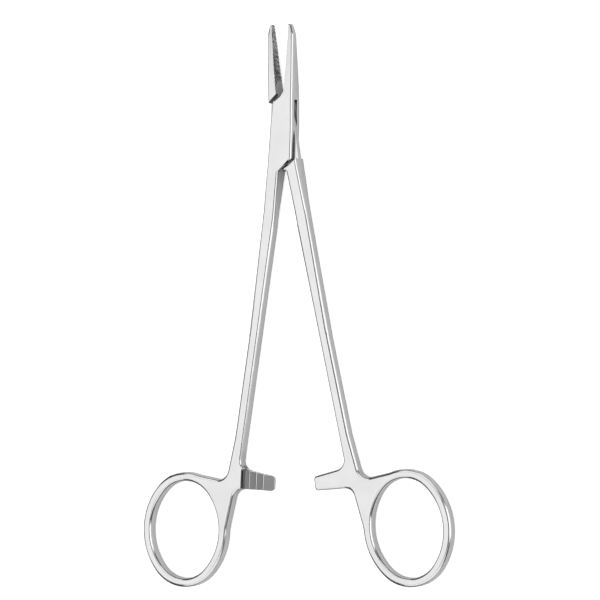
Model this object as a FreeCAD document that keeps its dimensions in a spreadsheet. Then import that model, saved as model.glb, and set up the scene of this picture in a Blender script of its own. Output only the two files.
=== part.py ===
import FreeCAD, Part
import math
import os
import Sketcher

# Needle holder with a box lock, drawn lying on its back face.
# X runs across the handles, Y points to the jaw tips and Z is up from the resting face.
# The origin is on the pivot axis, at the resting face of the box.
# Each half is drawn with the jaw tips touching, then turned by half of the opening angle.

V = FreeCAD.Vector

SIZES = (
    # Opening of the instrument as it lies, and the layers of the box lock
    ("opening_angle", 9.6),
    ("box_depth", 6.2),
    ("slot_depth", 2.4),
    ("tongue_clearance", 0.06),
    ("rivet_radius", 1.5),
    ("rivet_clearance", 0.05),
    # Jaw outline, measured from the pivot and from the middle line
    ("tip_reach", 33.2),
    ("tip_width", 1.0),
    ("tip_corner", 0.9),
    ("nose_width", 2.0),
    ("nose_length", 3.0),
    ("nose_corner", 3.0),
    ("jaw_root_width", 3.15),
    ("jaw_root_reach", 14.8),
    ("face_gap_tip", 0.02),
    ("face_gap_root", 0.40),
    # Box outline
    ("box_width", 7.7),
    ("box_widest_reach", 1.0),
    ("box_top_reach", 12.2),
    ("box_top_width", 3.3),
    ("box_foot_drop", 13.2),
    ("box_foot_width", 4.1),
    ("flank_curve", 60.0),
    # Diagonal ends of the box walls and the shoulders that face them
    ("wall_top_slope", 41.5),
    ("wall_top_reach", 8.5),
    ("wall_foot_slope", 40.0),
    ("wall_foot_reach", 9.75),
    ("shoulder_top_slope", 38.0),
    ("shoulder_top_reach", 8.95),
    ("shoulder_foot_slope", 37.0),
    ("shoulder_foot_reach", 10.25),
    ("slot_top_radius", 9.95),
    ("slot_foot_radius", 11.1),
    ("slot_end_clearance", 0.12),
    # Shank outline
    ("crotch_gap", 0.3),
    ("inner_bend_out", 1.45),
    ("inner_bend_drop", 30.0),
    ("inner_bend_curve", 80.0),
    ("neck_out", 4.2),
    ("neck_drop", 12.0),
    ("neck_curve", 30.0),
    ("middle_out", 8.3),
    ("middle_drop", 65.0),
    ("middle_curve", 150.0),
    ("lower_out", 11.6),
    ("lower_drop", 97.0),
    ("lower_curve", 30.0),
    # Finger ring
    ("ring_out", 27.81),
    ("ring_drop", 127.9),
    ("ring_hole_width", 23.7),
    ("ring_hole_length", 30.8),
    ("ring_end_radius", 9.75),
    ("ring_band", 2.9),
    ("ring_blend", 12.0),
    ("web_corner_radius", 3.5),
    ("web_corner_inset", 1.04),
    ("web_corner_drop", 1.9),
    ("web_end_inset", 0.8),
    ("shank_end_inset", 0.52),
    ("shank_end_drop", 1.6),
    ("ring_overlap", 0.17),
    # Ratchet bar and teeth
    ("bar_reach", 1.9),
    ("bar_root_out", 9.25),
    ("bar_root_drop", 107.2),
    ("bar_tip_drop", 109.0),
    ("bar_tip_height", 4.6),
    ("bar_root_height", 6.6),
    ("bar_corner", 1.1),
    ("bar_root_curve", 3.2),
    ("bar_foot_shift", 1.45),
    ("tooth_pitch", 2.45),
    ("tooth_height", 0.75),
    ("tooth_rise", 0.25),
    ("first_tooth_out", 6.6),
    ("ratchet_wall_out", 8.67),
    ("ratchet_wall_draft", 0.32),
    ("ratchet_floor_drop", 0.21),
    ("ratchet_cut_margin", 1.2),
    ("end_land_slope", 0.19),
    # Depth of the instrument along its length
    ("tip_depth", 2.4),
    ("jaw_middle_depth", 4.3),
    ("jaw_middle_reach", 22.5),
    ("jaw_side_curve", 40.0),
    ("handle_depth", 4.3),
    ("depth_fade_drop", 13.8),
    ("depth_fade_length", 12.7),
    ("depth_fade_curve", 25.0),
    # Eased edges of the outline and of the finger rings' holes
    ("edge_bevel", 0.52),
    ("hole_edge_bevel", 0.62),
    # Crossed grooves on the jaw faces
    ("groove_pitch", 1.15),
    ("groove_width", 0.62),
    ("groove_cut", 0.24),
    ("cross_groove_cut", 0.21),
    ("groove_lean", 0.02),
    ("groove_slant", 42.0),
    ("groove_start", 0.9),
    ("grooved_length", 16.1),
    # How far cuts run past the metal they take away, and the step that keeps corners apart
    ("cut_over", 1.0),
    ("flank_over", 2.4),
    ("seam_over", 0.02),
    ("corner_step", 0.001),
)
TOOTH_COUNT = 3

# Limits for telling edges apart, as lengths and as part of a unit normal
NEAR = 1e-3
LEVEL = 1e-4

doc = FreeCAD.newDocument("NeedleHolder")
sheet = doc.addObject("Spreadsheet::Sheet", "Sizes")
for row, (alias, value) in enumerate(SIZES, start=1):
    sheet.set("A%d" % row, alias)
    sheet.set("B%d" % row, str(value))
    sheet.setAlias("B%d" % row, alias)
doc.recompute()


class Size:
    """A number together with the sheet formula that gives it."""

    def __init__(self, value, formula):
        self.value = value
        self.formula = formula

    def __add__(self, other):
        other = as_size(other)
        return Size(self.value + other.value, "(%s + %s)" % (self.formula, other.formula))

    def __sub__(self, other):
        other = as_size(other)
        return Size(self.value - other.value, "(%s - %s)" % (self.formula, other.formula))

    def __mul__(self, other):
        other = as_size(other)
        return Size(self.value * other.value, "(%s * %s)" % (self.formula, other.formula))

    def __truediv__(self, other):
        other = as_size(other)
        return Size(self.value / other.value, "(%s / %s)" % (self.formula, other.formula))

    def __neg__(self):
        return Size(-self.value, "(0 - %s)" % self.formula)


def as_size(thing):
    if isinstance(thing, Size):
        return thing
    return Size(float(thing), repr(float(thing)))


def size(alias):
    return Size(float(sheet.get(alias)), "Sizes.%s" % alias)


def slope_of(alias):
    """Rise over run of a sloping line whose angle is on the sheet."""
    angle = size(alias)
    return Size(math.tan(math.radians(angle.value)), "tan(%s * 1 deg)" % angle.formula)


def tilt_length(alias):
    """Length of a sloping line over its run, for its distance from the pivot."""
    angle = size(alias)
    return Size(1 / math.cos(math.radians(angle.value)), "(1 / cos(%s * 1 deg))" % angle.formula)


class Corner:
    """A corner of an outline, rounded where a radius is given."""

    def __init__(self, x, y, radius=None):
        self.x = as_size(x)
        self.y = as_size(y)
        self.radius = radius

    def place(self):
        return V(self.x.value, self.y.value, 0)


def bind(sketch, constraint, amount):
    index = sketch.addConstraint(constraint)
    name = "c%d" % index
    sketch.renameConstraint(index, name)
    sketch.setExpression("Constraints.%s" % name, amount.formula)


def pin(sketch, geometry, point, x, y=None):
    bind(sketch, Sketcher.Constraint("DistanceX", -1, 1, geometry, point, x.value), x)
    if y is not None:
        bind(sketch, Sketcher.Constraint("DistanceY", -1, 1, geometry, point, y.value), y)


def unit_to(start, end):
    step = end - start
    return step / step.Length


def add_outline(sketch, corners):
    """Draws a closed outline whose corners are fixed by formulas, each rounded by its radius."""
    count = len(corners)
    places = [corner.place() for corner in corners]
    starts = []
    ends = []
    arcs = []
    for i, corner in enumerate(corners):
        before = unit_to(places[i - 1], places[i])
        after = unit_to(places[i], places[(i + 1) % count])
        if corner.radius is None:
            ends.append(places[i])
            starts.append(places[i])
            arcs.append(None)
            continue
        turn = math.acos(max(-1.0, min(1.0, before.dot(after))))
        cut = corner.radius.value * math.tan(turn / 2)
        entry = places[i] - before * cut
        leave = places[i] + after * cut
        left_turn = before.cross(after).z > 0
        side = V(-before.y, before.x, 0) if left_turn else V(before.y, -before.x, 0)
        centre = entry + side * corner.radius.value
        ends.append(entry)
        starts.append(leave)
        arcs.append((centre, entry, leave, left_turn))

    lines = []
    for i in range(count):
        following = (i + 1) % count
        line = Part.LineSegment(starts[i], ends[following])
        lines.append(sketch.addGeometry(line, False))

    for i, corner in enumerate(corners):
        line_in = lines[i - 1]
        line_out = lines[i]
        if arcs[i] is None:
            sketch.addConstraint(Sketcher.Constraint("Coincident", line_in, 2, line_out, 1))
            pin(sketch, line_out, 1, corner.x, corner.y)
            continue
        centre, entry, leave, left_turn = arcs[i]
        circle = Part.Circle(centre, V(0, 0, 1), corner.radius.value)
        first, last = (entry, leave) if left_turn else (leave, entry)
        first_angle = math.atan2(first.y - centre.y, first.x - centre.x)
        last_angle = math.atan2(last.y - centre.y, last.x - centre.x)
        arc = sketch.addGeometry(Part.ArcOfCircle(circle, first_angle, last_angle), False)
        mark = sketch.addGeometry(Part.Point(places[i]), True)
        pin(sketch, mark, 1, corner.x, corner.y)
        sketch.addConstraint(Sketcher.Constraint("PointOnObject", mark, 1, line_in))
        sketch.addConstraint(Sketcher.Constraint("PointOnObject", mark, 1, line_out))
        entry_end, leave_end = (1, 2) if left_turn else (2, 1)
        sketch.addConstraint(Sketcher.Constraint("Tangent", line_in, 2, arc, entry_end))
        sketch.addConstraint(Sketcher.Constraint("Tangent", line_out, 1, arc, leave_end))
        bind(sketch, Sketcher.Constraint("Radius", arc, corner.radius.value), corner.radius)


def add_pivot_arc(sketch, radius, x_a, x_b, upper):
    """Draws an arc about the pivot from one place across to another, and gives its two ends."""
    sign = 1 if upper else -1
    a_is_first = (x_a.value > x_b.value) == upper
    ends = []
    for x, is_first in ((x_a, a_is_first), (x_b, not a_is_first)):
        y = sign * math.sqrt(radius.value ** 2 - x.value ** 2)
        ends.append((V(x.value, y, 0), 1 if is_first else 2, x))
    first, last = sorted(ends, key=lambda end: end[1])
    angles = [math.atan2(end[0].y, end[0].x) for end in (first, last)]
    circle = Part.Circle(V(0, 0, 0), V(0, 0, 1), radius.value)
    arc = sketch.addGeometry(Part.ArcOfCircle(circle, angles[0], angles[1]), False)
    sketch.addConstraint(Sketcher.Constraint("Coincident", arc, 3, -1, 1))
    bind(sketch, Sketcher.Constraint("Radius", arc, radius.value), radius)
    for place, end, x in ends:
        pin(sketch, arc, end, x)
    return [(arc, end, place) for place, end, x in ends]


def add_run(sketch, start, corners, finish):
    """Draws straight lines from the end of one arc, through the corners, to the end of another."""
    places = [start[2]] + [corner.place() for corner in corners] + [finish[2]]
    lines = []
    for a, b in zip(places, places[1:]):
        lines.append(sketch.addGeometry(Part.LineSegment(a, b), False))
    sketch.addConstraint(Sketcher.Constraint("Coincident", start[0], start[1], lines[0], 1))
    sketch.addConstraint(Sketcher.Constraint("Coincident", lines[-1], 2, finish[0], finish[1]))
    for i, corner in enumerate(corners):
        sketch.addConstraint(Sketcher.Constraint("Coincident", lines[i], 2, lines[i + 1], 1))
        pin(sketch, lines[i + 1], 1, corner.x, corner.y)


def add_oval(sketch, x, y, half_width, half_length, end_radius):
    """Draws an oval of two end arcs and two side arcs that run into each other."""
    run = half_length - end_radius
    side_radius = ((half_width * half_width) + (run * run) - (end_radius * end_radius))
    side_radius = side_radius / ((half_width - end_radius) * 2)
    inset = side_radius.value - half_width.value
    middles = (
        V(x.value, y.value + run.value, 0),
        V(x.value + inset, y.value, 0),
        V(x.value, y.value - run.value, 0),
        V(x.value - inset, y.value, 0),
    )
    joints = []
    for end_middle, side_middle in ((0, 3), (0, 1), (2, 1), (2, 3)):
        out = unit_to(middles[side_middle], middles[end_middle])
        joints.append(middles[end_middle] + out * end_radius.value)
    radii = (end_radius, side_radius, end_radius, side_radius)
    arcs = []
    for i in range(4):
        first = joints[i]
        last = joints[(i + 1) % 4]
        circle = Part.Circle(middles[i], V(0, 0, 1), radii[i].value)
        angles = [math.atan2(p.y - middles[i].y, p.x - middles[i].x) for p in (first, last)]
        arcs.append(sketch.addGeometry(Part.ArcOfCircle(circle, angles[0], angles[1]), False))
    for i in range(4):
        bind(sketch, Sketcher.Constraint("Radius", arcs[i], radii[i].value), radii[i])
        sketch.addConstraint(Sketcher.Constraint("Tangent", arcs[i], 2, arcs[(i + 1) % 4], 1))
    pin(sketch, arcs[0], 3, x, y + run)
    pin(sketch, arcs[2], 3, x, y - run)


def new_body(name):
    return doc.addObject("PartDesign::Body", name)


def new_sketch(body, name, role, lift=None):
    """Adds a sketch on one of the body's own planes, lifted off it where asked."""
    sketch = body.newObject("Sketcher::SketchObject", name)
    plane = [f for f in body.Origin.OriginFeatures if f.Role == role][0]
    sketch.AttachmentSupport = (plane, "")
    sketch.MapMode = "FlatFace"
    if lift is not None:
        sketch.AttachmentOffset = FreeCAD.Placement(V(0, 0, lift.value), FreeCAD.Rotation())
        sketch.setExpression("AttachmentOffset.Base.z", lift.formula)
    return sketch


def pad(body, sketch, name, depth):
    feature = body.newObject("PartDesign::Pad", name)
    feature.Profile = sketch
    feature.SideType = "Symmetric"
    feature.Length = depth.value
    feature.setExpression("Length", depth.formula)
    doc.recompute()
    return feature


def pocket(body, sketch, name, depth=None, side="Symmetric", reversed_side=False):
    """Cuts a sketch out of the body, and stops if it took nothing away."""
    before = body.Shape.Volume
    feature = body.newObject("PartDesign::Pocket", name)
    feature.Profile = sketch
    feature.SideType = side
    feature.Reversed = reversed_side
    if depth is None:
        feature.Type = "ThroughAll"
    else:
        feature.Length = depth.value
        feature.setExpression("Length", depth.formula)
    doc.recompute()
    if not body.Shape.Volume < before - NEAR:
        raise RuntimeError("%s took nothing away" % name)
    return feature


def round_edges(body, name, indexes, radius):
    base = body.Tip
    feature = body.newObject("PartDesign::Fillet", name)
    feature.Base = (base, ["Edge%d" % i for i in indexes])
    feature.Radius = radius.value
    feature.setExpression("Radius", radius.formula)
    doc.recompute()
    return feature


def bevel_edges(body, name, indexes, width):
    base = body.Tip
    feature = body.newObject("PartDesign::Chamfer", name)
    feature.Base = (base, ["Edge%d" % i for i in indexes])
    feature.Size = width.value
    feature.setExpression("Size", width.formula)
    doc.recompute()
    return feature


def faces_beside(shape, edge):
    return shape.ancestorsOfType(edge, Part.Face)


def is_upright(edge):
    box = edge.BoundBox
    return box.ZLength > NEAR and box.XLength < LEVEL and box.YLength < LEVEL


def is_side(face):
    """True for a face that stands square to the flat of the instrument."""
    u0, u1, v0, v1 = face.ParameterRange
    return abs(face.normalAt((u0 + u1) / 2, (v0 + v1) / 2).z) < LEVEL


def junction_edges(shape):
    """Upright edges where the straight outline meets the round of the finger ring."""
    lowest = size("bar_root_drop").value + size("bar_root_height").value
    found = []
    for i, edge in enumerate(shape.Edges, start=1):
        if not is_upright(edge) or edge.BoundBox.Center.y > -lowest:
            continue
        rounds = [face for face in faces_beside(shape, edge)
                  if type(face.Surface).__name__ == "Cylinder"]
        if len(rounds) == 1 and rounds[0].Surface.Radius > size("ring_end_radius").value:
            found.append(i)
    return found


def in_ring_hole(box):
    """True for a bounding box that lies within the finger ring's hole."""
    reach_x = size("ring_hole_width").value / 2 + NEAR
    reach_y = size("ring_hole_length").value / 2 + NEAR
    out = size("ring_out").value
    inside_x = all(abs(abs(x) - out) < reach_x for x in (box.XMin, box.XMax))
    inside_y = all(abs(y + size("ring_drop").value) < reach_y for y in (box.YMin, box.YMax))
    return inside_x and inside_y


def on_jaw_face(box):
    """True for a bounding box that lies on the gripping face or on a square end of the box."""
    far = max(abs(box.XMin), abs(box.XMax))
    gripping = far < size("face_gap_root").value + NEAR and box.YMin > size("cut_over").value
    foot = size("box_foot_drop").value
    square_end = box.YLength < LEVEL and abs(box.Center.y) < foot + NEAR
    return gripping or square_end


def outline_edges(shape, hole):
    """Front and back edges of the outline, or those of the ring's hole."""
    found = []
    for i, edge in enumerate(shape.Edges, start=1):
        sides = [face for face in faces_beside(shape, edge) if is_side(face)]
        if len(sides) != 1 or in_ring_hole(edge.BoundBox) != hole:
            continue
        if not on_jaw_face(edge.BoundBox):
            found.append(i)
    return found


def build_half(name, side):
    """One forged half: jaw, box part, shank, ratchet bar and finger ring."""
    body = new_body(name)

    def across(x):
        x = as_size(x)
        return x if side > 0 else -x

    def at(x, y, radius=None):
        return Corner(across(x), y, radius)

    draw_outline(body, at)
    draw_ring(body, across)
    set_depth(body)
    bevel_edges(body, name + "_edges", outline_edges(body.Shape, hole=False), size("edge_bevel"))
    bevel_edges(body, name + "_hole_edges", outline_edges(body.Shape, hole=True),
                size("hole_edge_bevel"))
    return body, across, at


def draw_outline(body, at):
    """Plan outline from the jaw tip to the finger ring, with the ratchet bar on it."""
    tip = size("tip_reach")
    ring_x = size("ring_out")
    ring_y = -size("ring_drop")
    ring_half_width = size("ring_hole_width") / 2 + size("ring_band")
    ring_half_length = size("ring_hole_length") / 2 + size("ring_band")
    box_half = size("box_width") / 2
    box_wide = size("box_widest_reach")
    flank = size("flank_curve")
    ring_left = ring_x - ring_half_width
    ring_top = ring_y + ring_half_length
    inner = size("ring_band") + size("cut_over")
    shank_end = ring_y - size("shank_end_drop")
    bar_x = -size("bar_reach")
    bar_foot = size("bar_tip_drop") + size("bar_tip_height")
    corners = (
        at(-size("face_gap_tip"), tip),
        at(-size("tip_width"), tip, size("tip_corner")),
        at(-size("nose_width"), tip - size("nose_length"), size("nose_corner")),
        at(-size("jaw_root_width"), size("jaw_root_reach"), flank),
        at(-box_half, box_wide, flank),
        at(-size("box_foot_width"), -size("box_foot_drop")),
        at(size("crotch_gap"), -size("box_foot_drop")),
        at(size("inner_bend_out"), -size("inner_bend_drop"), size("inner_bend_curve")),
        at(size("bar_root_out"), -size("bar_root_drop"), size("bar_root_curve")),
        at(bar_x, -size("bar_tip_drop"), size("bar_corner")),
        at(bar_x, -bar_foot, size("bar_corner")),
        at(size("bar_root_out") + size("bar_foot_shift"),
           -(size("bar_root_drop") + size("bar_root_height")), size("bar_root_curve")),
        at(ring_left + size("shank_end_inset"), shank_end),
        at(ring_left + inner, shank_end),
        at(ring_x - size("web_end_inset"), ring_top - inner),
        at(ring_x - size("web_end_inset"), ring_top - size("ring_overlap")),
        at(ring_left + size("web_corner_inset"), ring_top - size("web_corner_drop"),
           size("web_corner_radius")),
        at(size("lower_out"), -size("lower_drop"), size("lower_curve")),
        at(size("middle_out"), -size("middle_drop"), size("middle_curve")),
        at(size("neck_out"), -size("neck_drop"), size("neck_curve")),
        at(box_half, box_wide, flank),
        at(size("box_top_width"), size("box_top_reach")),
        at(-size("face_gap_root"), size("box_top_reach")),
    )
    sketch = new_sketch(body, body.Name + "_outline", "XY_Plane")
    add_outline(sketch, corners)
    doc.recompute()
    pad(body, sketch, body.Name + "_blank", size("box_depth"))


def draw_ring(body, across):
    """Finger ring added to the foot of the shank, blended into it and opened."""
    x = across(size("ring_out"))
    y = -size("ring_drop")
    hole_half_width = size("ring_hole_width") / 2
    hole_half_length = size("ring_hole_length") / 2
    band = size("ring_band")
    rim = new_sketch(body, body.Name + "_ring", "XY_Plane")
    add_oval(rim, x, y, hole_half_width + band, hole_half_length + band,
             size("ring_end_radius") + band)
    doc.recompute()
    pad(body, rim, body.Name + "_ring_blank", size("box_depth"))
    round_edges(body, body.Name + "_ring_blend", junction_edges(body.Shape), size("ring_blend"))
    hole = new_sketch(body, body.Name + "_hole", "XY_Plane")
    add_oval(hole, x, y, hole_half_width, hole_half_length, size("ring_end_radius"))
    doc.recompute()
    pocket(body, hole, body.Name + "_ring_hole")


def set_depth(body):
    """Side view: the jaws taper to the tip and the shanks thin down to the handle."""
    half = size("box_depth") / 2
    over = half + size("cut_over")
    tip = size("tip_reach") + size("cut_over")
    end = -(size("ring_drop") + size("ring_hole_length"))
    fade = -size("depth_fade_drop")
    sketch = new_sketch(body, body.Name + "_side_view", "YZ_Plane")
    for sign in (1, -1):
        def level(z):
            return z if sign > 0 else -z
        jaw = (
            Corner(size("slot_top_radius"), level(half)),
            Corner(size("jaw_middle_reach"), level(size("jaw_middle_depth") / 2),
                   size("jaw_side_curve")),
            Corner(tip, level(size("tip_depth") / 2)),
            Corner(tip, level(over)),
            Corner(size("slot_top_radius"), level(over)),
        )
        handle = (
            Corner(fade, level(half)),
            Corner(fade - size("depth_fade_length"), level(size("handle_depth") / 2),
                   size("depth_fade_curve")),
            Corner(end, level(size("handle_depth") / 2)),
            Corner(end, level(over)),
            Corner(fade, level(over)),
        )
        add_outline(sketch, jaw)
        add_outline(sketch, handle)
    doc.recompute()
    pocket(body, sketch, body.Name + "_depth")


def wall_end(slope, reach, x, upper, rising):
    """Height of a sloping wall end or shoulder at a place across."""
    rise = slope_of(slope) * x
    start = size(reach) * tilt_length(slope)
    if not upper:
        start = -start
    return start + rise if rising else start - rise


def trim_female(body, at):
    """Sloping ends of the box walls, above on the shank side and below on the jaw side."""
    gap = -size("face_gap_root")
    crotch = size("crotch_gap")
    wide = size("box_width")
    top = size("box_top_reach") + size("seam_over")
    foot = -size("box_foot_drop") - size("cut_over")
    upper = ("wall_top_slope", "wall_top_reach")
    lower = ("wall_foot_slope", "wall_foot_reach")
    sketch = new_sketch(body, body.Name + "_wall_ends", "XY_Plane")
    add_outline(sketch, (
        at(gap, wall_end(*upper, gap, True, False)),
        at(gap, top),
        at(wide, top),
        at(wide, wall_end(*upper, wide, True, False)),
    ))
    add_outline(sketch, (
        at(crotch, wall_end(*lower, crotch, False, False)),
        at(crotch, foot),
        at(-wide, foot),
        at(-wide, wall_end(*lower, -wide, False, False)),
    ))
    doc.recompute()
    pocket(body, sketch, body.Name + "_wall_cut")


def cut_slot(body, across, at):
    """Slot through the box from flank to flank, with ends that turn about the pivot."""
    gap = -size("face_gap_root")
    crotch = size("crotch_gap")
    wide = size("box_width") / 2 + size("flank_over")
    top = size("box_top_reach") + size("cut_over")
    foot = -size("box_foot_drop") - size("cut_over")
    sketch = new_sketch(body, body.Name + "_slot_plan", "XY_Plane")
    upper = add_pivot_arc(sketch, size("slot_top_radius"), across(-wide), across(gap), True)
    lower = add_pivot_arc(sketch, size("slot_foot_radius"), across(crotch), across(wide), False)
    add_run(sketch, upper[1], (at(gap, top), at(wide, top)), lower[1])
    add_run(sketch, lower[0], (at(crotch, foot), at(-wide, foot)), upper[0])
    doc.recompute()
    pocket(body, sketch, body.Name + "_slot", size("slot_depth"))


def trim_male(body, across, at):
    """Round ends of the tongue, which follow the ends of the slot."""
    gap = -size("face_gap_root")
    crotch = size("crotch_gap")
    wide = size("box_width") / 2 + size("flank_over")
    top = size("box_top_reach") + size("seam_over")
    foot = -size("box_foot_drop") - size("cut_over")
    clearance = size("slot_end_clearance")
    sketch = new_sketch(body, body.Name + "_tongue_ends", "XY_Plane")
    upper = add_pivot_arc(sketch, size("slot_top_radius") - clearance, across(gap), across(wide), True)
    add_run(sketch, upper[0], (at(gap, top), at(wide, top)), upper[1])
    lower = add_pivot_arc(sketch, size("slot_foot_radius") - clearance,
                          across(-wide), across(crotch), False)
    add_run(sketch, lower[0], (at(-wide, foot), at(crotch, foot)), lower[1])
    doc.recompute()
    pocket(body, sketch, body.Name + "_tongue_end_cut")


def cut_tongue(body, at):
    """Recesses that leave the tongue between the shoulders, front and back."""
    wide = size("box_width") / 2 + size("flank_over")
    upper = ("shoulder_top_slope", "shoulder_top_reach")
    lower = ("shoulder_foot_slope", "shoulder_foot_reach")
    middle = size("corner_step")
    half_tongue = size("slot_depth") / 2 - size("tongue_clearance")
    for label, lift, flip in (("front", half_tongue, True), ("back", -half_tongue, False)):
        sketch = new_sketch(body, body.Name + "_recess_" + label, "XY_Plane", lift)
        add_outline(sketch, (
            at(-wide, wall_end(*upper, -wide, True, True)),
            at(middle, wall_end(*upper, middle, True, True)),
            at(wide, wall_end(*upper, middle, True, True)),
            at(wide, wall_end(*lower, wide, False, True)),
            at(middle, wall_end(*lower, middle, False, True)),
            at(-wide, wall_end(*lower, middle, False, True)),
        ))
        doc.recompute()
        pocket(body, sketch, body.Name + "_recess_cut_" + label, side="One side", reversed_side=flip)


def cut_ratchet(body, at, level):
    """Saw teeth on one face of the ratchet bar, steep towards their own shank."""
    pitch = size("tooth_pitch")
    first = size("first_tooth_out")
    crest = size("tooth_rise")
    valley = crest - size("tooth_height")
    over = size("handle_depth")
    end = -size("bar_reach") - size("cut_over")
    wall = size("ratchet_wall_out")
    corners = [
        at(wall, level(over)),
        at(wall, level(size("handle_depth") / 2)),
        at(wall - size("ratchet_wall_draft"), level(crest - size("ratchet_floor_drop"))),
    ]
    for count in range(TOOTH_COUNT):
        out = first - pitch * count
        corners.append(at(out, level(valley)))
        corners.append(at(out, level(crest)))
    last = first - pitch * (TOOTH_COUNT - 1)
    corners.append(at(end, level(crest - (last - end) * size("end_land_slope"))))
    corners.append(at(end, level(over)))
    height = size("bar_root_height") + size("ratchet_cut_margin") * 2
    sketch = new_sketch(body, body.Name + "_teeth", "XZ_Plane", size("bar_root_drop") + height / 2)
    add_outline(sketch, corners)
    doc.recompute()
    pocket(body, sketch, body.Name + "_ratchet", height)


def face_place(reach):
    """Distance of the gripping face from the middle line at a distance from the pivot."""
    run = (size("tip_reach") - reach) / (size("tip_reach") - size("box_top_reach"))
    return size("face_gap_tip") + run * (size("face_gap_root") - size("face_gap_tip"))


def cut_grooves(body, at, lean, depth, label):
    """One set of slanting grooves over the gripping face, repeated along it."""
    start = size("tip_reach") - size("groove_start")
    face = face_place(start)
    half_width = size("groove_width") / 2
    outside = size("cut_over") / 2
    half_mouth = half_width + half_width * outside / depth
    sketch = new_sketch(body, body.Name + "_groove_" + label, "XY_Plane")
    slant = size("groove_slant") * lean
    sketch.AttachmentOffset = FreeCAD.Placement(V(0, start.value, 0),
                                                FreeCAD.Rotation(V(1, 0, 0), slant.value))
    sketch.setExpression("AttachmentOffset.Base.y", start.formula)
    sketch.setExpression("AttachmentOffset.Rotation.Angle", "%s * 1 deg" % slant.formula)
    add_outline(sketch, (
        at(outside - face, half_mouth),
        at(-face - depth, size("groove_lean")),
        at(outside - face, -half_mouth),
    ))
    line = new_sketch(body, body.Name + "_face_line_" + label, "XY_Plane")
    ends = (at(-size("face_gap_tip"), size("tip_reach")),
            at(-size("face_gap_root"), size("box_top_reach")))
    edge = line.addGeometry(Part.LineSegment(ends[0].place(), ends[1].place()), False)
    for point, corner in enumerate(ends, start=1):
        pin(line, edge, point, corner.x, corner.y)
    doc.recompute()
    groove = pocket(body, sketch, body.Name + "_groove_cut_" + label)
    before = body.Shape.Volume
    rows = body.newObject("PartDesign::LinearPattern", body.Name + "_grooves_" + label)
    rows.Originals = [groove]
    rows.Direction = (line, ["Edge1"])
    rows.Length = size("grooved_length").value
    rows.setExpression("Length", "Sizes.grooved_length")
    rows.setExpression("Occurrences", "floor(Sizes.grooved_length / Sizes.groove_pitch) + 1")
    body.Tip = rows
    doc.recompute()
    if not body.Shape.Volume < before - NEAR:
        raise RuntimeError("the grooves of %s took nothing away" % body.Name)


def cut_bore(body, radius):
    sketch = new_sketch(body, body.Name + "_bore_plan", "XY_Plane")
    circle = sketch.addGeometry(Part.Circle(V(0, 0, 0), V(0, 0, 1), radius.value), False)
    sketch.addConstraint(Sketcher.Constraint("Coincident", circle, 3, -1, 1))
    bind(sketch, Sketcher.Constraint("Radius", circle, radius.value), radius)
    doc.recompute()
    pocket(body, sketch, body.Name + "_bore")


def build_rivet():
    """Rivet of the box lock, with both ends ground flush with the box."""
    body = new_body("rivet")
    sketch = new_sketch(body, "rivet_plan", "XY_Plane")
    circle = sketch.addGeometry(Part.Circle(V(0, 0, 0), V(0, 0, 1), size("rivet_radius").value), False)
    sketch.addConstraint(Sketcher.Constraint("Coincident", circle, 3, -1, 1))
    bind(sketch, Sketcher.Constraint("Radius", circle, size("rivet_radius").value), size("rivet_radius"))
    doc.recompute()
    pad(body, sketch, "rivet_shaft", size("box_depth"))
    return body


def place(body, turn):
    """Lifts a sub-part onto its resting face and turns it about the pivot."""
    body.Placement = FreeCAD.Placement(V(0, 0, size("box_depth").value / 2),
                                       FreeCAD.Rotation(V(0, 0, 1), turn.value))
    body.setExpression("Placement.Base.z", "Sizes.box_depth / 2")
    body.setExpression("Placement.Rotation.Angle", "%s * 1 deg" % turn.formula)


male, male_across, male_at = build_half("male_half", 1)
trim_male(male, male_across, male_at)
cut_tongue(male, male_at)
cut_ratchet(male, male_at, lambda z: -z)
cut_grooves(male, male_at, 1, size("groove_cut"), "rising")
cut_grooves(male, male_at, -1, size("cross_groove_cut"), "falling")
cut_bore(male, size("rivet_radius") + size("rivet_clearance"))

female, female_across, female_at = build_half("female_half", -1)
trim_female(female, female_at)
cut_slot(female, female_across, female_at)
cut_ratchet(female, female_at, lambda z: z)
cut_grooves(female, female_at, 1, size("groove_cut"), "rising")
cut_grooves(female, female_at, -1, size("cross_groove_cut"), "falling")
cut_bore(female, size("rivet_radius"))

rivet = build_rivet()

half_opening = size("opening_angle") / 2
place(male, half_opening)
place(female, -half_opening)
place(rivet, as_size(0))
sub_parts = {"male_half": male, "female_half": female, "rivet": rivet}
for node, sub_part in sub_parts.items():
    sub_part.Label = node
doc.recompute()

for thing in doc.Objects:
    if "Invalid" in thing.State or "Error" in thing.State:
        raise RuntimeError("%s did not build" % thing.Name)
for node, sub_part in sub_parts.items():
    if sub_part.Shape.isNull() or not sub_part.Shape.isValid():
        raise RuntimeError("%s has no valid shape" % node)

os.makedirs("parts", exist_ok=True)
for node, sub_part in sub_parts.items():
    sub_part.Shape.exportStep("parts/%s.step" % node)
    print(node, len(sub_part.Shape.Solids), round(sub_part.Shape.Volume, 1))
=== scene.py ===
import math

import bmesh
import bpy
from bpy.props import FloatProperty, FloatVectorProperty, IntProperty, PointerProperty
from mathutils import Euler, Matrix, Vector


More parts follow.
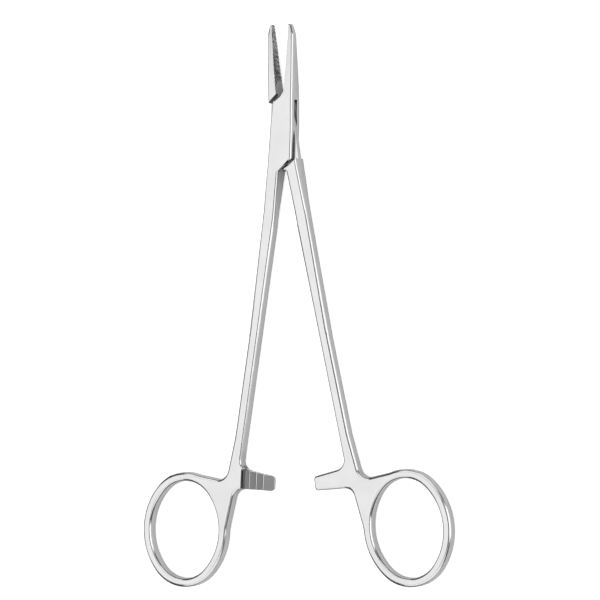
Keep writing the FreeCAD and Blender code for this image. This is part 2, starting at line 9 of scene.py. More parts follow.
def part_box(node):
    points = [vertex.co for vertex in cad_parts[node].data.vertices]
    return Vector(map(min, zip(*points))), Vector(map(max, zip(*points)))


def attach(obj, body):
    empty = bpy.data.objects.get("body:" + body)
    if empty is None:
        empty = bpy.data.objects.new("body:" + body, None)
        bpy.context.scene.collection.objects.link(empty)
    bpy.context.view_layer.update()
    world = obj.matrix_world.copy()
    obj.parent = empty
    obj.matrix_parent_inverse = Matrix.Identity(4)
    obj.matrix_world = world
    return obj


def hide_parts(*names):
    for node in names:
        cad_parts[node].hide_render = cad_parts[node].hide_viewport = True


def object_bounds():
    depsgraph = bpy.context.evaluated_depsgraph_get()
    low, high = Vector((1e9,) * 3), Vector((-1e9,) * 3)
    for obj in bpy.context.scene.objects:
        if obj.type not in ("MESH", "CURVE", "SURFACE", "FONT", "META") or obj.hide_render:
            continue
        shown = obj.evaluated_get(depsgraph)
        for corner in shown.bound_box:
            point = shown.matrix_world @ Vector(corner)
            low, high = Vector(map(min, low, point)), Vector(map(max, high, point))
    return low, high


bl_info = {
    "name": "Needle Holder",
    "version": (1, 0, 0),
    "blender": (4, 5, 0),
    "location": "3D View > Sidebar > Needle Holder",
    "description": "Dresses a surgical needle holder in satin steel and sets it on a pale table",
    "category": "Object",
}

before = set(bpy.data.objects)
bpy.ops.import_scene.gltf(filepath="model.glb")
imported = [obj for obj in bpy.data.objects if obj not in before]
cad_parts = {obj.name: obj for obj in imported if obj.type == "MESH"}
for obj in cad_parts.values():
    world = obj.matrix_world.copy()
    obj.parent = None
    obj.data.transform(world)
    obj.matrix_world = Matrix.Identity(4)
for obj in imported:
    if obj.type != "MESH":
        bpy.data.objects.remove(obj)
CAD_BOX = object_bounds()
MM = 0.001

# The halves of the instrument: the body each rides on, and the way it is turned at rest
HALVES = {
    "female_half": ("female", -1),
    "male_half": ("male", 1),
}

# Places of the steels in the material slots of a half; the ratchet and shoulder steels are darker copies
# that paint shade
SATIN, GRIPPING, RATCHET, SHADED_SHOULDER = range(4)

# Points of a solid that are joined and facets that are merged: how near, and how alike in angle
JOIN_WITHIN = 0.002 * MM
MERGE_WITHIN = math.radians(0.4)

# Kinds of face, by the upward part of the normal, and for a sloping wall by the smaller other part
LEVEL = 0.95
UPRIGHT = 0.1
SLANTING = (0.5, 0.9)
SLOPING = 0.3

# Angles between the two faces at an edge: at the sides of a bevel, at an edge that is broken,
# and at an edge that is shaded as sharp
BEVEL_ANGLES = (math.radians(24), math.radians(70))
BROKEN_ANGLE = math.radians(30)
SHADED_ANGLE = math.radians(35)

# An edge is broken only where it is this many times longer than the rounding
SHORTEST_EDGE = 4

# How far beside the toothed bars the bevels keep their width
BAR_MARGIN = 2.5 * MM

# Scale of the pattern of satin marks in each direction, which draws them out along the instrument
MARK_STRETCH = (1.0, 0.22, 1.0)

# Part of the wave noise over which the colour changes
WAVE_SPAN = (0.35, 0.65)

# How much the marks change the roughness, and how much smoother a polished edge is
MARK_GLOSS = 0.10
EDGE_GLOSS = 0.08

# Places of the colour sockets on a Mix node
MIX_FIRST, MIX_SECOND, MIX_RESULT = 6, 7, 2

# The table: half its side in metres, the unevenness of its colour, and its patches per metre
TABLE_HALF = 3.0
TABLE_UNEVENNESS = 0.01
TABLE_PATCHES = 6.0

# Upward parts of a direction between which the room brightens
ROOM_SPAN = (0.15, 0.6)


class NeedleHolderEdges(bpy.types.PropertyGroup):
    """Rounding that polishing leaves on the edges, and where the regions of a half begin."""

    outline_round: FloatProperty(
        name="Outline round", description="How far the bevels of the outline are rounded over",
        default=0.295 * MM, min=0.0, subtype="DISTANCE", unit="LENGTH", precision=6)
    outer_round: FloatProperty(
        name="Outer round", description="How far the outer side of the widened bevels is rounded over",
        default=0.46 * MM, min=0.0, subtype="DISTANCE", unit="LENGTH", precision=6)
    crisp_round: FloatProperty(
        name="Crisp round", description="Rounding of the sharp edges of the slot and the shoulders",
        default=0.05 * MM, min=0.0, subtype="DISTANCE", unit="LENGTH", precision=6)
    wall_end_round: FloatProperty(
        name="Wall end round", description="Easing of the sloping ends of the box walls",
        default=0.55 * MM, min=0.0, subtype="DISTANCE", unit="LENGTH", precision=6)
    tooth_round: FloatProperty(
        name="Tooth round", description="Rounding of the crests of the ratchet teeth",
        default=0.15 * MM, min=0.0, subtype="DISTANCE", unit="LENGTH", precision=6)
    round_steps: IntProperty(
        name="Round steps", description="Strips across each rounded edge", default=3, min=1, max=6)
    half_opening: FloatProperty(
        name="Half opening", description="Turn of each half from the closed instrument",
        default=math.radians(4.8), subtype="ANGLE", unit="ROTATION")
    jaw_face_start: FloatProperty(
        name="Jaw face start", description="Distance from the pivot at which the gripping face begins",
        default=12.5 * MM, subtype="DISTANCE", unit="LENGTH")
    jaw_face_depth: FloatProperty(
        name="Jaw face depth", description="How far from the middle line the gripping face reaches",
        default=0.9 * MM, subtype="DISTANCE", unit="LENGTH")
    shank_ease: FloatProperty(
        name="Shank ease", description="Extra width of the bevels low on the shanks",
        default=0.40 * MM, min=0.0, subtype="DISTANCE", unit="LENGTH", precision=5)
    ring_ease: FloatProperty(
        name="Ring ease", description="Extra width of the bevel round the outside of the finger rings",
        default=0.22 * MM, min=0.0, subtype="DISTANCE", unit="LENGTH", precision=5)
    shank_middle: FloatProperty(
        name="Shank middle", description="Distance from the pivot at which the shank's ease is full",
        default=65.0 * MM, subtype="DISTANCE", unit="LENGTH")
    bar_root: FloatProperty(
        name="Bar root", description="Distance from the middle line to the root of the ratchet bar",
        default=9.6 * MM, subtype="DISTANCE", unit="LENGTH")
    ring_center: FloatVectorProperty(
        name="Ring centre", description="Centre of the finger ring on the closed instrument",
        default=(27.81 * MM, -127.9 * MM), size=2, subtype="XYZ", unit="LENGTH")
    ring_middle: FloatVectorProperty(
        name="Ring middle", description="Half width and half length of the middle of the ring's band",
        default=(13.4 * MM, 16.9 * MM), size=2, subtype="XYZ", unit="LENGTH")
    shoulder_start: FloatProperty(
        name="Shoulder start", description="Distance from the pivot at which the shoulders begin",
        default=8.0 * MM, subtype="DISTANCE", unit="LENGTH")
    rivet_clear: FloatProperty(
        name="Rivet clear", description="Distance from the pivot within which edges stay sharp",
        default=2.0 * MM, subtype="DISTANCE", unit="LENGTH")
    box_foot: FloatProperty(
        name="Box foot", description="Distance from the pivot to the lower end of the box",
        default=13.0 * MM, subtype="DISTANCE", unit="LENGTH")
    groove_end: FloatProperty(
        name="Groove end", description="Distance from the pivot at which the crossed grooves end",
        default=15.6 * MM, subtype="DISTANCE", unit="LENGTH")
    groove_tilt: FloatProperty(
        name="Groove tilt", description="How far a face of the grip may lean to the front, as part of one",
        default=0.8, min=0.0, max=1.0)
    ratchet_top: FloatProperty(
        name="Ratchet top", description="Distance from the pivot to the near side of the toothed bar",
        default=105.5 * MM, subtype="DISTANCE", unit="LENGTH")
    ratchet_foot: FloatProperty(
        name="Ratchet foot", description="Distance from the pivot to the far side of the toothed bar",
        default=115.5 * MM, subtype="DISTANCE", unit="LENGTH")
    ratchet_reach: FloatProperty(
        name="Ratchet reach", description="Distance from the middle line to the root of the teeth",
        default=8.45 * MM, subtype="DISTANCE", unit="LENGTH")
    land_drop: FloatProperty(
        name="Land drop", description="How far below the middle of the steel the toothed side reaches",
        default=0.6 * MM, subtype="DISTANCE", unit="LENGTH")


class NeedleHolderSteel(bpy.types.PropertyGroup):
    """Colours and finish of the steel."""

    steel_color: FloatVectorProperty(
        name="Steel", description="Reflection colour of the satin steel",
        default=(0.58, 0.58, 0.585), size=3, min=0.0, max=1.0, subtype="COLOR")
    # Painted shade: this near-black colour is mixed in wherever ambient occlusion finds grooves, slots,
    # corners or the table close by
    painted_shade_color: FloatVectorProperty(
        name="Painted shade", description="Reflection colour deep in grooves, slots and corners",
        default=(0.02, 0.02, 0.021), size=3, min=0.0, max=1.0, subtype="COLOR")
    jaw_color: FloatVectorProperty(
        name="Gripping face", description="Reflection colour of the cross-cut gripping faces",
        default=(0.60, 0.60, 0.605), size=3, min=0.0, max=1.0, subtype="COLOR")
    # Painted shade: the teeth are the same steel, darkened to the shade that their tilted facets take
    shaded_tooth_color: FloatVectorProperty(
        name="Ratchet", description="Reflection colour of the milled ratchet teeth",
        default=(0.22, 0.22, 0.223), size=3, min=0.0, max=1.0, subtype="COLOR")
    # Painted shade: near-black colour for the shoulders, where shade falls in the gap of the box lock
    shoulder_shade_color: FloatVectorProperty(
        name="Shoulder", description="Reflection colour of the milled shoulders of the box lock",
        default=(0.08, 0.08, 0.082), size=3, min=0.0, max=1.0, subtype="COLOR")
    # Painted highlight: bright colour on the rounded crests of the teeth, where the light catches them
    crest_highlight_color: FloatVectorProperty(
        name="Crest", description="Reflection colour of the worn crests of the teeth",
        default=(0.95, 0.95, 0.955), size=3, min=0.0, max=1.0, subtype="COLOR")
    satin_roughness: FloatProperty(
        name="Satin roughness", description="Roughness of the satin faces",
        default=0.21, min=0.0, max=1.0, subtype="FACTOR")
    milled_roughness: FloatProperty(
        name="Milled roughness", description="Roughness of the teeth and the gripping faces",
        default=0.34, min=0.0, max=1.0, subtype="FACTOR")
    grain_size: FloatProperty(
        name="Grain size", description="Size of the finest marks that the satin finish leaves",
        default=0.12 * MM, min=0.01 * MM, subtype="DISTANCE", unit="LENGTH", precision=6)
    wave_size: FloatProperty(
        name="Wave size", description="Size of the soft waves that forging and polishing leave",
        default=9.0 * MM, min=1.0 * MM, subtype="DISTANCE", unit="LENGTH")
    patch_size: FloatProperty(
        name="Patch size", description="Size of the worn and clogged patches of the gripping faces",
        default=0.8 * MM, min=0.1 * MM, subtype="DISTANCE", unit="LENGTH", precision=5)
    # Painted shade: how far the darkening of corners and grooves reaches
    painted_shade_reach: FloatProperty(
        name="Recess reach", description="Distance over which corners and grooves darken",
        default=0.5 * MM, min=0.05 * MM, subtype="DISTANCE", unit="LENGTH", precision=5)
    # Painted shade: how far the darkening of the ratchet valleys reaches
    tooth_shade_reach: FloatProperty(
        name="Tooth reach", description="Distance over which the valleys of the ratchet darken",
        default=0.5 * MM, min=0.05 * MM, subtype="DISTANCE", unit="LENGTH", precision=5)


class NeedleHolderStage(bpy.types.PropertyGroup):
    """The table, the lights and the camera."""

    floor_color: FloatVectorProperty(
        name="Table", description="Colour of the pale table",
        default=(0.93, 0.93, 0.93), size=3, min=0.0, max=1.0, subtype="COLOR")
    floor_glow: FloatProperty(
        name="Table glow", description="Lift of the table in the picture, which thins the shadows",
        default=0.70, min=0.0)
    room_light: FloatProperty(
        name="Room light", description="Brightness of the dim room overhead",
        default=0.16, min=0.0)
    low_light: FloatProperty(
        name="Low light", description="Brightness of the dim room near the horizon",
        default=0.02, min=0.0)
    left_light: FloatProperty(
        name="Left light", description="Power of the large soft light over the left side",
        default=7.0, min=0.0, subtype="POWER", unit="POWER")
    right_light: FloatProperty(
        name="Right light", description="Power of the soft light low on the right side",
        default=6.4, min=0.0, subtype="POWER", unit="POWER")
    end_light: FloatProperty(
        name="End light", description="Power of each soft light beyond an end of the instrument",
        default=7.4, min=0.0, subtype="POWER", unit="POWER")
    view_target: FloatVectorProperty(
        name="View target", description="Point that the camera looks at",
        default=(3.58 * MM, -53.61 * MM, 3.1 * MM), size=3, subtype="XYZ", unit="LENGTH")
    view_distance: FloatProperty(
        name="View distance", description="Distance from the camera to its target",
        default=1.125, subtype="DISTANCE", unit="LENGTH")
    view_lean: FloatProperty(
        name="View lean", description="Angle between the line of sight and straight down",
        default=math.radians(25.0), subtype="ANGLE", unit="ROTATION")
    view_roll: FloatProperty(
        name="View roll", description="Turn of the instrument in the picture",
        default=math.radians(1.86), subtype="ANGLE", unit="ROTATION")
    lens: FloatProperty(
        name="Lens", description="Focal length of the camera, on a 36 mm sensor",
        default=215.7, min=10.0, subtype="DISTANCE_CAMERA", unit="CAMERA")


def is_level(face):
    """True for the flat front and back."""
    return abs(face.normal.z) > LEVEL


def is_upright(face):
    """True for the walls of the outline and the slot."""
    return abs(face.normal.z) < UPRIGHT


def is_slanting(face):
    """True for the bevels."""
    return SLANTING[0] < abs(face.normal.z) < SLANTING[1]


def is_sloping(face):
    """True for a wall that runs neither along nor across the instrument."""
    return min(abs(face.normal.x), abs(face.normal.y)) > SLOPING


def own_place(point, side, edges):
    """Turns a point back to the closed instrument, with the jaw of its half on the negative side."""
    turned = Matrix.Rotation(-side * edges.half_opening, 3, "Z") @ point
    return Vector((turned.x * side, turned.y, turned.z))


def on_jaw_face(place, edges):
    """True on the side of a jaw that faces the other jaw."""
    return place.y > edges.jaw_face_start and abs(place.x) < edges.jaw_face_depth


def grips(face, place, edges):
    """True for the cross-cut part of a jaw's face and for the sides of its grooves."""
    upright = abs(face.normal.z) < edges.groove_tilt
    return upright and place.y > edges.groove_end and on_jaw_face(place, edges)


def on_ratchet(place, side, edges):
    """True on the toothed side of the ratchet bar, which is the front of the female half."""
    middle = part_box("rivet")[1].z / 2
    toothed = (place.z - middle) * -side > -edges.land_drop
    within = -edges.ratchet_foot < place.y < -edges.ratchet_top
    return toothed and within and place.x < edges.ratchet_reach


def in_box_gap(face, place, edges):
    """True for the diagonal shoulders and wall ends that meet when the box lock is closed."""
    near_end = edges.shoulder_start < abs(place.y) < edges.groove_end
    return is_upright(face) and is_sloping(face) and near_end


def steel_slot(face, side, edges):
    """The material slot of the steel that a face shows."""
    place = own_place(face.calc_center_median(), side, edges)
    if grips(face, place, edges):
        return GRIPPING
    if on_ratchet(place, side, edges):
        return RATCHET
    if in_box_gap(face, place, edges):
        return SHADED_SHOULDER
    return SATIN


def edge_angle(edge):
    """Angle between the two faces at an edge."""
    return edge.calc_face_angle(0.0)


def edge_place(edge, side, edges):
    """Middle of an edge on the closed instrument."""
    return own_place((edge.verts[0].co + edge.verts[1].co) / 2, side, edges)


def clean_copy(node):
    """The solid's mesh as a bmesh with its faces joined up and its flat facets merged."""
    mesh = bmesh.new()
    mesh.from_mesh(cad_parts[node].data)
    mesh.faces.layers.float.new("polished")
    bmesh.ops.remove_doubles(mesh, verts=mesh.verts, dist=JOIN_WITHIN)
    bmesh.ops.dissolve_limit(mesh, angle_limit=MERGE_WITHIN, verts=mesh.verts, edges=mesh.edges)
    mesh.normal_update()
    return mesh


def ramp(value, start, end):
    """Rises from 0 at the start to 1 at the end, and stays there."""
    return max(0.0, min(1.0, (value - start) / (end - start)))


def ease_at(place, edges):
    """Extra width of the bevel: none at the box and on the bars, most low on the shank."""
    along = -place.y
    on_bar = edges.ratchet_top - BAR_MARGIN < along < edges.ratchet_foot + BAR_MARGIN
    if on_bar and place.x < edges.bar_root:
        return 0.0
    shank = edges.shank_ease * ramp(along, edges.box_foot, edges.shank_middle)
    return shank + (edges.ring_ease - shank) * ramp(along, edges.ratchet_top, edges.ratchet_foot)


def in_ring_hole(place, edges):
    """True within the oval that runs along the middle of the finger ring's band."""
    across = (place.x - edges.ring_center[0]) / edges.ring_middle[0]
    along = (place.y - edges.ring_center[1]) / edges.ring_middle[1]
    return across * across + along * along < 1.0


def widen_bevels(mesh, side, edges):
    """Moves the inner rim of the outline's bevels inwards, so that the shanks are softly eased."""
    moves = []
    for vertex in mesh.verts:
        place = own_place(vertex.co, side, edges)
        amount = ease_at(place, edges)
        inner = any(is_level(face) for face in vertex.link_faces)
        slanting = [face for face in vertex.link_faces if is_slanting(face)]
        if amount > 0.0 and inner and slanting and not in_ring_hole(place, edges):
            outward = sum((face.normal for face in slanting), Vector())
            outward.z = 0.0
            moves.append((vertex, outward.normalized() * amount))
    for vertex, move in moves:
        vertex.co -= move
    mesh.normal_update()


def round_outline(mesh, side, edges):
    """Rounds both sides of the bevels that run along the outline and the ring's hole.

    The outer side of a bevel that was widened is rounded more than the rest.
    """
    outer = []
    others = []
    for edge in mesh.edges:
        place = edge_place(edge, side, edges)
        bevelled = BEVEL_ANGLES[0] < edge_angle(edge) < BEVEL_ANGLES[1]
        if not bevelled or on_jaw_face(place, edges) or on_ratchet(place, side, edges):
            continue
        by_wall = any(is_upright(face) for face in edge.link_faces)
        widened = ease_at(place, edges) > edges.outline_round and not in_ring_hole(place, edges)
        if by_wall and widened:
            outer.append(edge)
        else:
            others.append(edge)
    round_over(mesh, others, edges.outline_round, edges.round_steps)
    round_over(mesh, outer, edges.outer_round, edges.round_steps)


def is_wall_end(edge, side):
    """True for the edges where the sloping ends of the box walls meet the flat front and back."""
    flat, wall = sorted(edge.link_faces, key=lambda face: abs(face.normal.z), reverse=True)
    return side < 0 and is_level(flat) and is_upright(wall) and is_sloping(wall)


def round_sharp_edges(mesh, side, edges):
    """Breaks the sharp outer edges of the teeth, the slot, the shoulders and the wall ends."""
    crests = []
    wall_ends = []
    others = []
    for edge in mesh.edges:
        place = edge_place(edge, side, edges)
        sharp = edge_angle(edge) > BROKEN_ANGLE and edge.is_convex
        long_enough = edge.calc_length() > edges.crisp_round * SHORTEST_EDGE
        by_rivet = place.xy.length < edges.rivet_clear
        if not sharp or not long_enough or by_rivet or on_jaw_face(place, edges):
            continue
        if on_ratchet(place, side, edges):
            crests.append(edge)
        elif place.y > -edges.box_foot and is_wall_end(edge, side):
            wall_ends.append(edge)
        else:
            others.append(edge)
    round_over(mesh, wall_ends, edges.wall_end_round, steps=2)
    round_over(mesh, others, edges.crisp_round, steps=1)
    round_over(mesh, crests, edges.tooth_round, steps=2)


def round_over(mesh, chosen, width, steps):
    """Rounds those of the edges that are still there, and marks the new faces as polished."""
    chosen = [edge for edge in chosen if edge.is_valid]
    made = bmesh.ops.bevel(mesh, geom=chosen, offset=width, offset_type="OFFSET", segments=steps,
                           profile=0.5, affect="EDGES", clamp_overlap=False, loop_slide=True)
    mesh.normal_update()
    polished = mesh.faces.layers.float["polished"]
    for face in made["faces"]:
        face[polished] = 1.0


def build_half(context, node):
    """Builds the dressed half from its solid, with rounded bevels and crisp teeth."""
    edges = context.scene.needle_holder_edges
    body, side = HALVES[node]
    mesh = clean_copy(node)

    widen_bevels(mesh, side, edges)
    round_outline(mesh, side, edges)
    round_sharp_edges(mesh, side, edges)

    for face in mesh.faces:
        face.smooth = True
        face.material_index = steel_slot(face, side, edges)
    for edge in mesh.edges:
        edge.smooth = edge_angle(edge) < SHADED_ANGLE

    data = bpy.data.meshes.new(node + "_steel")
    mesh.to_mesh(data)
    mesh.free()
    piece = bpy.data.objects.new(node + "_steel", data)
    context.scene.collection.objects.link(piece)
    normals = piece.modifiers.new("Face normals", "WEIGHTED_NORMAL")
    normals.keep_sharp = True
    normals.weight = 75
    for steel in (satin_steel, gripping_steel, shaded_ratchet_steel, shaded_shoulder_steel):
        data.materials.append(steel(context))
    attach(piece, body)
    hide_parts(node)


def new_group(name, inputs, outputs):
    """An empty node group with number sockets, and its input and output nodes."""
    group = bpy.data.node_groups.new(name, "ShaderNodeTree")
    for label, default in inputs.items():
        socket = group.interface.new_socket(name=label, in_out="INPUT", socket_type="NodeSocketFloat")
        socket.default_value = default
    for label in outputs:
        group.interface.new_socket(name=label, in_out="OUTPUT", socket_type="NodeSocketFloat")
    return group, group.nodes.new("NodeGroupInput"), group.nodes.new("NodeGroupOutput")


def feed(links, value, socket):
    """Links a value that comes from another node, or sets a number or a colour of three parts."""
    if isinstance(value, bpy.types.NodeSocket):
        links.new(value, socket)
    elif isinstance(value, tuple):
        socket.default_value = (*value, 1.0)
    else:
        socket.default_value = value


def math_node(nodes, links, operation, *values):
    """A Math node on numbers and sockets."""
    node = nodes.new("ShaderNodeMath")
    node.operation = operation
    for socket, value in zip(node.inputs, values):
        feed(links, value, socket)
    return node.outputs["Value"]


def noise_node(nodes, links, vector, scale, detail=3.0, roughness=0.5):
    """Noise at a place that a socket gives, with a scale that is a number or a socket."""
    node = nodes.new("ShaderNodeTexNoise")
    node.inputs["Detail"].default_value = detail
    node.inputs["Roughness"].default_value = roughness
    links.new(vector, node.inputs["Vector"])
    feed(links, scale, node.inputs["Scale"])
    return node.outputs["Fac"]


def satin_grain_group():
    """Fine satin marks drawn out along the instrument, over soft waves from forging."""
    name = "Satin grain"
    if name in bpy.data.node_groups:
        return bpy.data.node_groups[name]
    group, given, made = new_group(
        name, {"Grain Size": 0.1 * MM, "Wave Size": 9.0 * MM}, ("Grain", "Wave"))
    nodes, links = group.nodes, group.links
    place = nodes.new("ShaderNodeTexCoord")
    stretch = nodes.new("ShaderNodeMapping")
    stretch.inputs["Scale"].default_value = MARK_STRETCH
    links.new(place.outputs["Object"], stretch.inputs["Vector"])
    grain_scale = math_node(nodes, links, "DIVIDE", 1.0, given.outputs["Grain Size"])
    wave_scale = math_node(nodes, links, "DIVIDE", 1.0, given.outputs["Wave Size"])
    grain = noise_node(nodes, links, stretch.outputs["Vector"], grain_scale, detail=4.0, roughness=0.6)
    wave = noise_node(nodes, links, place.outputs["Object"], wave_scale, detail=2.0, roughness=0.4)
    links.new(grain, made.inputs["Grain"])
    links.new(wave, made.inputs["Wave"])
    return group


def shade_and_edge_group():
    """Mask of painted shade in grooves, slots and corners, from ambient occlusion, and mask of the
    polished outer edges.
    """
    name = "Recess and edge"
    if name in bpy.data.node_groups:
        return bpy.data.node_groups[name]
    group, given, made = new_group(
        name, {"Reach": 0.6 * MM, "Closed": 0.25, "Open": 0.7}, ("Painted shade", "Edge"))
    nodes, links = group.nodes, group.links
    # Ambient occlusion finds where shade falls, and the mask paints it dark
    closed = nodes.new("ShaderNodeAmbientOcclusion")
    closed.samples = 16
    links.new(given.outputs["Reach"], closed.inputs["Distance"])
    depth = nodes.new("ShaderNodeMapRange")
    links.new(given.outputs["Closed"], depth.inputs["From Min"])
    links.new(given.outputs["Open"], depth.inputs["From Max"])
    depth.inputs["To Min"].default_value = 1.0
    depth.inputs["To Max"].default_value = 0.0
    links.new(closed.outputs["AO"], depth.inputs["Value"])
    links.new(depth.outputs["Result"], made.inputs["Painted shade"])
    polished = nodes.new("ShaderNodeAttribute")
    polished.attribute_name = "polished"
    links.new(polished.outputs["Fac"], made.inputs["Edge"])
    return group


def group_node(nodes, group, **values):
    """Places a group in a material and sets its inputs, named with _ for a space."""
    node = nodes.new("ShaderNodeGroup")
    node.node_tree = group
    for name, value in values.items():
        node.inputs[name.replace("_", " ")].default_value = value
    return node


def mix_color(nodes, links, factor, first, second):
    """A mix of two colours, each a colour or a socket."""
    node = nodes.new("ShaderNodeMix")
    node.data_type = "RGBA"
    links.new(factor, node.inputs["Factor"])
    feed(links, first, node.inputs[MIX_FIRST])
    feed(links, second, node.inputs[MIX_SECOND])
    return node.outputs[MIX_RESULT]


def bump_node(nodes, links, height, distance):
    """A Bump node at full strength."""
    node = nodes.new("ShaderNodeBump")
    node.inputs["Strength"].default_value = 1.0
    node.inputs["Distance"].default_value = distance
    links.new(height, node.inputs["Height"])
    return node


def steel_material(context, name, *, color, edge_highlight_color, roughness, mark_height, wave_height,
                   wave_size, unevenness, reach, closed_share, open_share):
    """A steel with painted shade in its recesses, and its own colour on the polished edges, which on the
    teeth is a painted highlight.

    The waves are wave_size long and differ in colour by the unevenness. A corner takes painted shade over
    its reach, from the open_share of free room round it down to the closed_share.
    """
    if name in bpy.data.materials:
        return bpy.data.materials[name]
    steel = context.scene.needle_holder_steel
    material = bpy.data.materials.new(name)
    material.use_nodes = True
    nodes, links = material.node_tree.nodes, material.node_tree.links
    nodes.clear()
    shader = nodes.new("ShaderNodeBsdfPrincipled")
    shader.inputs["Metallic"].default_value = 1.0
    out = nodes.new("ShaderNodeOutputMaterial")
    links.new(shader.outputs["BSDF"], out.inputs["Surface"])

    marks = group_node(nodes, satin_grain_group(), Grain_Size=steel.grain_size, Wave_Size=wave_size)
    shape = group_node(nodes, shade_and_edge_group(), Reach=reach, Closed=closed_share, Open=open_share)
    worn = tuple(min(1.0, part * (1.0 + unevenness)) for part in color)
    dull = tuple(part * (1.0 - unevenness) for part in color)
    patches = nodes.new("ShaderNodeMapRange")
    patches.inputs["From Min"].default_value, patches.inputs["From Max"].default_value = WAVE_SPAN
    links.new(marks.outputs["Wave"], patches.inputs["Value"])
    varied = mix_color(nodes, links, patches.outputs["Result"], dull, worn)
    # Painted highlight: the polished edges take the edge colour, which is brighter than the steel on the
    # ratchet crests
    highlighted = mix_color(nodes, links, shape.outputs["Edge"], varied, edge_highlight_color)
    # Painted shade: the near-black colour is mixed in where ambient occlusion finds recesses
    links.new(mix_color(nodes, links, shape.outputs["Painted shade"], highlighted, tuple(steel.painted_shade_color)),
              shader.inputs["Base Color"])

    gloss = math_node(nodes, links, "MULTIPLY_ADD", marks.outputs["Grain"], MARK_GLOSS,
                      roughness - MARK_GLOSS / 2)
    polished = math_node(nodes, links, "MULTIPLY", shape.outputs["Edge"], EDGE_GLOSS)
    links.new(math_node(nodes, links, "SUBTRACT", gloss, polished), shader.inputs["Roughness"])

    fine = bump_node(nodes, links, marks.outputs["Grain"], mark_height)
    soft = bump_node(nodes, links, marks.outputs["Wave"], wave_height)
    links.new(soft.outputs["Normal"], fine.inputs["Normal"])
    links.new(fine.outputs["Normal"], shader.inputs["Normal"])
    return material


def satin_steel(context):
    """Outside of the halves: bright satin with drawn-out polishing marks."""
    steel = context.scene.needle_holder_steel
    color = tuple(steel.steel_color)
    # Painted shade darkens corners, grooves and the foot of the walls beside the table
    return steel_material(
        context, "Satin steel", color=color, edge_highlight_color=color,
        roughness=steel.satin_roughness, mark_height=0.0006 * MM, wave_height=0.05 * MM,
        wave_size=steel.wave_size, unevenness=0.03,
        reach=steel.painted_shade_reach, closed_share=0.42, open_share=0.75)


def gripping_steel(context):
    """Cross-cut gripping faces: duller, with painted shade in the grooves."""
    steel = context.scene.needle_holder_steel
    color = tuple(steel.jaw_color)
    return steel_material(
        context, "Gripping steel", color=color, edge_highlight_color=color,
        roughness=steel.milled_roughness, mark_height=0.004 * MM, wave_height=0.02 * MM,
        wave_size=steel.patch_size, unevenness=0.60,
        reach=steel.painted_shade_reach, closed_share=0.68, open_share=0.95)


def shaded_ratchet_steel(context):
    """Milled teeth of the ratchet bars: a darker copy of the steel that paints their shade, with painted
    highlights on the crests.
    """
    steel = context.scene.needle_holder_steel
    return steel_material(
        context, "Shaded ratchet steel", color=tuple(steel.shaded_tooth_color), edge_highlight_color=tuple(steel.crest_highlight_color),
        roughness=steel.milled_roughness, mark_height=0.003 * MM, wave_height=0.01 * MM,
        wave_size=steel.wave_size, unevenness=0.03,
        reach=steel.tooth_shade_reach, closed_share=0.62, open_share=0.98)


def shaded_shoulder_steel(context):
    """Shoulders of the box lock: rougher milled steel, near black to paint the shade in the gap of the box
    lock.
    """
    steel = context.scene.needle_holder_steel
    color = tuple(steel.shoulder_shade_color)
    return steel_material(
        context, "Shaded shoulder steel", color=color, edge_highlight_color=color,
        roughness=steel.milled_roughness, mark_height=0.003 * MM, wave_height=0.01 * MM,
        wave_size=steel.wave_size, unevenness=0.03,
        reach=steel.painted_shade_reach, closed_share=0.55, open_share=0.90)


class NEEDLEHOLDER_OT_halves(bpy.types.Operator):
    """Builds the two forged halves over their solids"""

    bl_idname = "needleholder.halves"
    bl_label = "Forged halves"

    def execute(self, context):
        for node in HALVES:
            build_half(context, node)
        return {"FINISHED"}


class NEEDLEHOLDER_OT_rivet(bpy.types.Operator):
    """Gives the rivet of the box lock the satin steel that it was ground to with the box"""

    bl_idname = "needleholder.rivet"
    bl_label = "Rivet"

    def execute(self, context):
        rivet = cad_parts["rivet"]
        rivet.data.materials.clear()
        rivet.data.materials.append(satin_steel(context))
        return {"FINISHED"}


def pale_table(context):
    """Material of the table: near white, with a trace of unevenness."""
    stage = context.scene.needle_holder_stage
    material = bpy.data.materials.new("Pale table")
    material.use_nodes = True
    nodes, links = material.node_tree.nodes, material.node_tree.links
    shader = nodes["Principled BSDF"]
    shader.inputs["Roughness"].default_value = 0.9
    shader.inputs["Specular IOR Level"].default_value = 0.1
    place = nodes.new("ShaderNodeTexCoord")
    uneven = noise_node(nodes, links, place.outputs["Object"], TABLE_PATCHES)
    low = tuple(part * (1.0 - TABLE_UNEVENNESS) for part in stage.floor_color)
    pale = mix_color(nodes, links, uneven, low, tuple(stage.floor_color))
    links.new(pale, shader.inputs["Base Color"])
    links.new(pale, shader.inputs["Emission Color"])
    seen = nodes.new("ShaderNodeLightPath")
    links.new(math_node(nodes, links, "MULTIPLY", seen.outputs["Is Camera Ray"], stage.floor_glow),
              shader.inputs["Emission Strength"])
    return material


def dim_room(stage):
    """World that is dim overhead and dimmer near the horizon, and pale where the camera sees it."""
    world = bpy.data.worlds.new("Dim room")
    world.use_nodes = True
    nodes, links = world.node_tree.nodes, world.node_tree.links
    way = nodes.new("ShaderNodeTexCoord")
    parts = nodes.new("ShaderNodeSeparateXYZ")
    links.new(way.outputs["Generated"], parts.inputs["Vector"])
    height = nodes.new("ShaderNodeMapRange")
    height.inputs["From Min"].default_value, height.inputs["From Max"].default_value = ROOM_SPAN
    height.inputs["To Min"].default_value = stage.low_light
    height.inputs["To Max"].default_value = stage.room_light
    links.new(parts.outputs["Z"], height.inputs["Value"])
    seen = nodes.new("ShaderNodeLightPath")
    brightest = math_node(nodes, links, "MAXIMUM",
                          height.outputs["Result"], seen.outputs["Is Camera Ray"])
    links.new(brightest, nodes["Background"].inputs["Strength"])
    nodes["Background"].inputs["Color"].default_value = (1.0, 1.0, 1.0, 1.0)
    return world


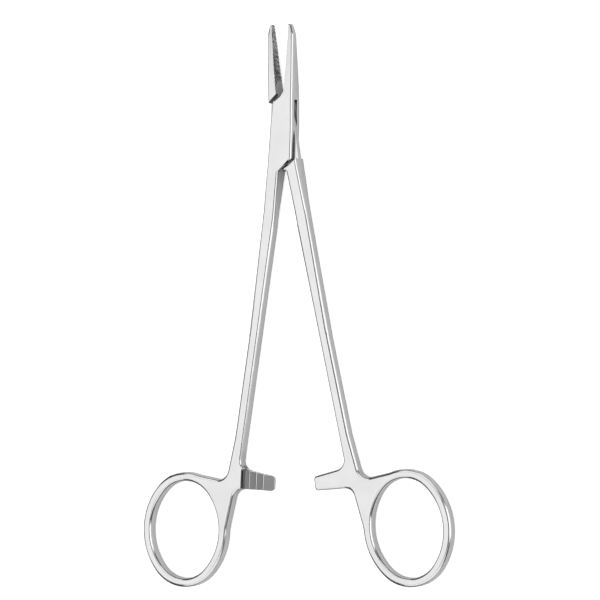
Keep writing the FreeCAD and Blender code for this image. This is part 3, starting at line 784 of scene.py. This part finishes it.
def soft_light(context, name, size, watts, place, aim):
    """A rectangular soft light that faces a point."""
    data = bpy.data.lights.new(name, "AREA")
    data.shape = "RECTANGLE"
    data.size, data.size_y = size
    data.energy = watts
    lamp = bpy.data.objects.new(name, data)
    context.scene.collection.objects.link(lamp)
    lamp.location = place
    lamp.rotation_mode = "QUATERNION"
    lamp.rotation_quaternion = (aim - place).to_track_quat("-Z", "Y")


class NEEDLEHOLDER_OT_stage(bpy.types.Operator):
    """Sets the pale table, the soft lights and the camera"""

    bl_idname = "needleholder.stage"
    bl_label = "Stage"

    def execute(self, context):
        stage = context.scene.needle_holder_stage
        self.add_table(context)
        self.add_lights(context, stage)
        self.add_camera(context, stage)
        context.scene.view_settings.view_transform = "Standard"
        return {"FINISHED"}

    def add_table(self, context):
        """Lays the table at the level of the instrument's underside."""
        mesh = bmesh.new()
        bmesh.ops.create_grid(mesh, x_segments=8, y_segments=8, size=TABLE_HALF)
        data = bpy.data.meshes.new("table")
        mesh.to_mesh(data)
        mesh.free()
        data.materials.append(pale_table(context))
        table = bpy.data.objects.new("table", data)
        table.location.z = CAD_BOX[0].z
        context.scene.collection.objects.link(table)

    def add_lights(self, context, stage):
        """Hangs each light, given by its size, power and way from the middle of the instrument."""
        context.scene.world = dim_room(stage)
        middle = (CAD_BOX[0] + CAD_BOX[1]) / 2
        lamps = (
            ("left_light", (0.88, 2.0), stage.left_light, (-0.56, 0.0, 1.0)),
            ("right_light", (0.9, 1.2), stage.right_light, (1.18, 0.05, 0.53)),
            ("tip_light", (1.7, 1.1), stage.end_light, (0.1, 1.0, 0.95)),
            ("ring_light", (1.7, 1.1), stage.end_light, (0.1, -1.0, 0.95)),
        )
        for name, size, watts, way in lamps:
            soft_light(context, name, size, watts, middle + Vector(way), middle)

    def add_camera(self, context, stage):
        """Points the camera down at the instrument from its right side."""
        data = bpy.data.cameras.new("camera")
        data.sensor_width = 36.0
        data.lens = stage.lens
        camera = bpy.data.objects.new("camera", data)
        context.scene.collection.objects.link(camera)
        turn = Euler((0.0, stage.view_lean, 0.0)).to_matrix()
        turn = Matrix.Rotation(-stage.view_roll, 3, "Z") @ turn
        camera.matrix_world = Matrix.Translation(
            Vector(stage.view_target) + turn @ Vector((0.0, 0.0, stage.view_distance))) @ turn.to_4x4()
        context.scene.camera = camera


class NEEDLEHOLDER_PT_panel(bpy.types.Panel):
    """Sizes, finish and stage of the needle holder"""

    bl_idname = "NEEDLEHOLDER_PT_panel"
    bl_label = "Needle Holder"
    bl_space_type = "VIEW_3D"
    bl_region_type = "UI"
    bl_category = "Needle Holder"

    def draw(self, context):
        scene = context.scene
        for group in (scene.needle_holder_edges, scene.needle_holder_steel, scene.needle_holder_stage):
            box = self.layout.box()
            for name in group.__annotations__:
                box.prop(group, name)
        for operator in OPERATORS:
            self.layout.operator(operator.bl_idname)


GROUPS = {
    "needle_holder_edges": NeedleHolderEdges,
    "needle_holder_steel": NeedleHolderSteel,
    "needle_holder_stage": NeedleHolderStage,
}
OPERATORS = (NEEDLEHOLDER_OT_halves, NEEDLEHOLDER_OT_rivet, NEEDLEHOLDER_OT_stage)


def register():
    for item in (*GROUPS.values(), *OPERATORS, NEEDLEHOLDER_PT_panel):
        bpy.utils.register_class(item)
    for name, group in GROUPS.items():
        setattr(bpy.types.Scene, name, PointerProperty(type=group))


def unregister():
    for name in GROUPS:
        delattr(bpy.types.Scene, name)
    for item in reversed((*GROUPS.values(), *OPERATORS, NEEDLEHOLDER_PT_panel)):
        bpy.utils.unregister_class(item)


def main():
    register()
    bpy.ops.needleholder.halves()
    bpy.ops.needleholder.rivet()
    bpy.ops.needleholder.stage()


if __name__ == "__main__":
    main()
